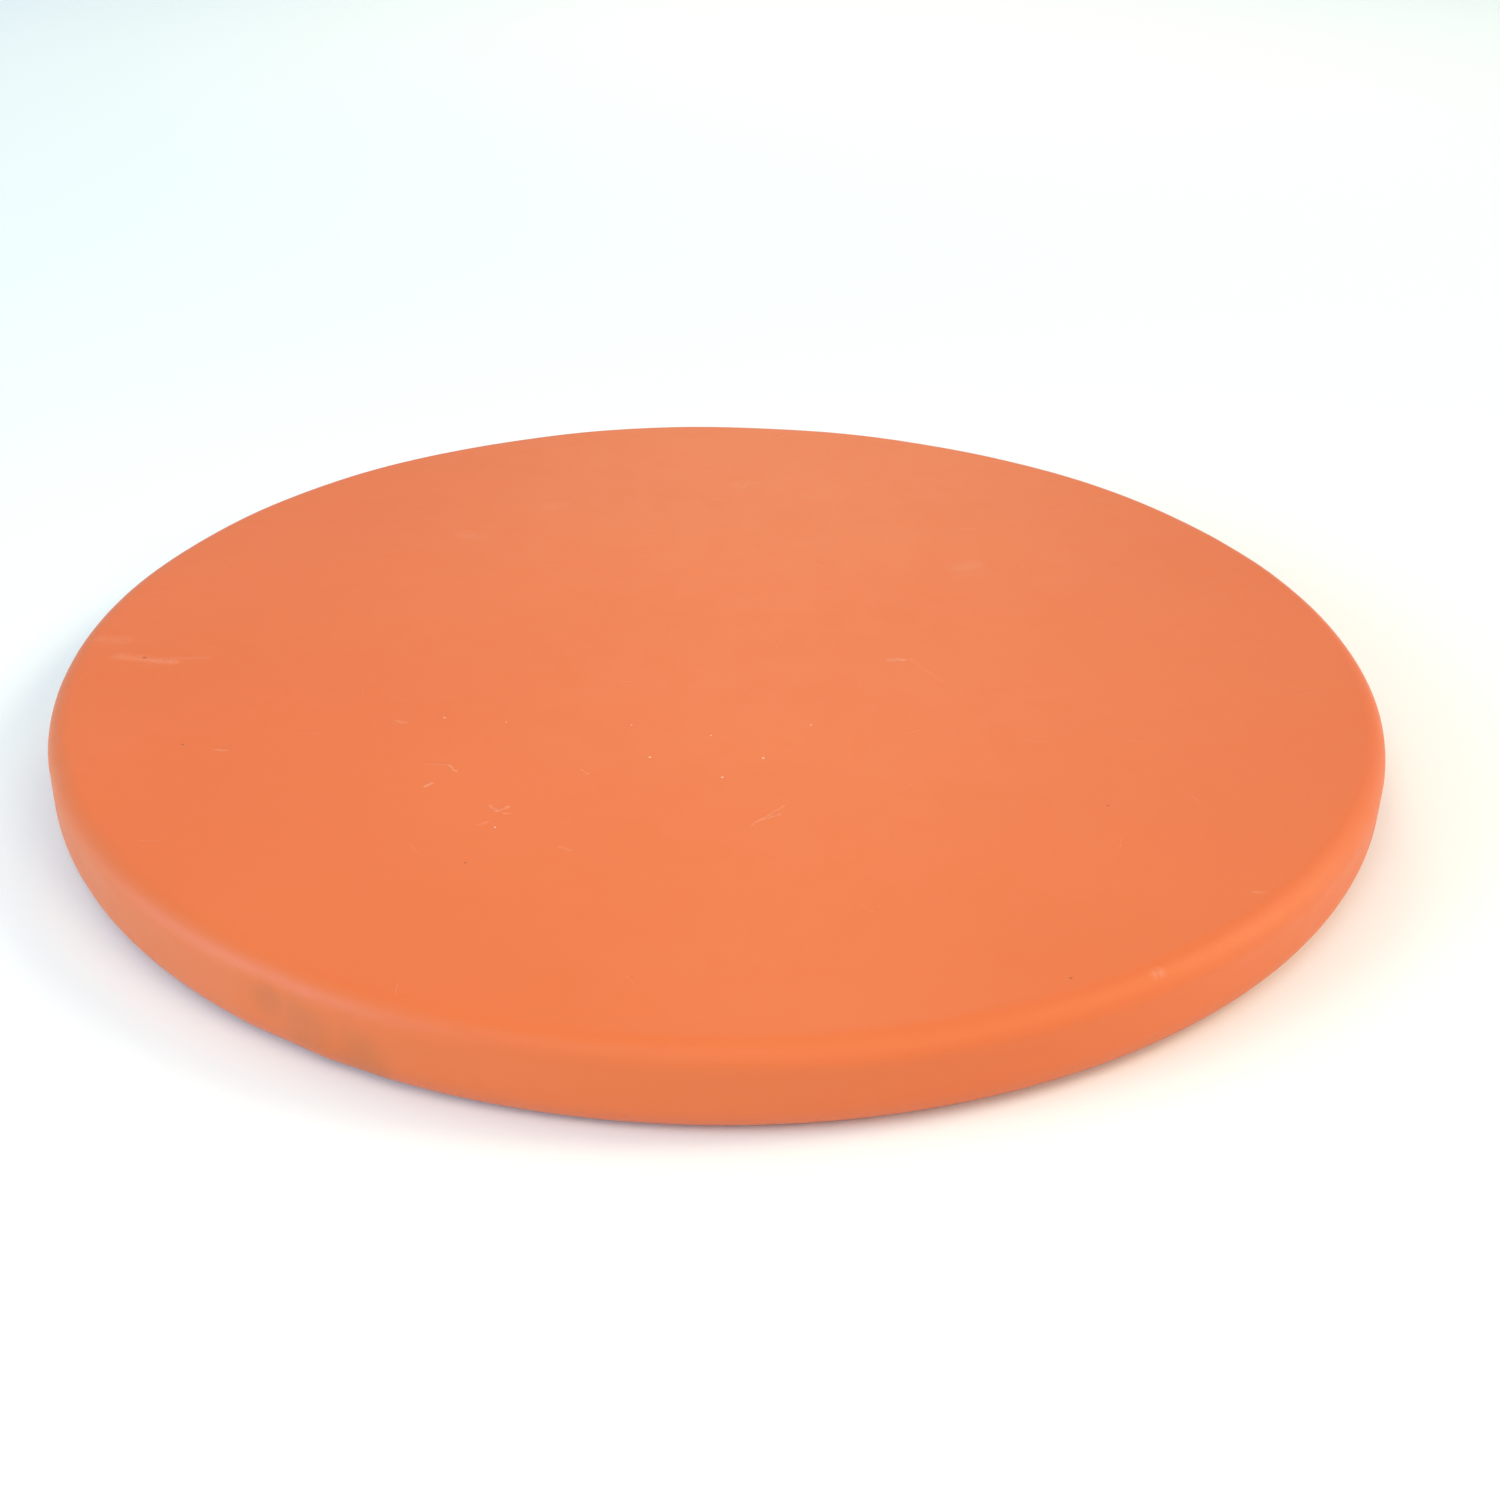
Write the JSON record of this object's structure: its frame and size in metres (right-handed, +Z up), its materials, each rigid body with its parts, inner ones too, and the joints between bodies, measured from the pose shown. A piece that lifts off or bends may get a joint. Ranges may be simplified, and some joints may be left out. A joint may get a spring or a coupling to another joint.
{
  "type": "flying disc",
  "caption": "Soft round throwing disc with a flat top, rounded edges and a shallow hollow underneath, foam-cored with an elastic skin.",
  "frame": {"origin": "centre of the disc at the level of the surface it rests on", "axes": "+Z up along the disc's axis, out of the flat top; X and Y lie in the plane of the disc and are interchangeable"},
  "size_m": [0.23, 0.23, 0.015],
  "materials": {
    "skin": "matte",
    "foam": "matte"
  },
  "bodies": {
    "root": {"foam_plate": "foam", "foam_rim": "foam", "top_skin": "skin", "underside_skin": "skin"}
  },
  "joints": []
}
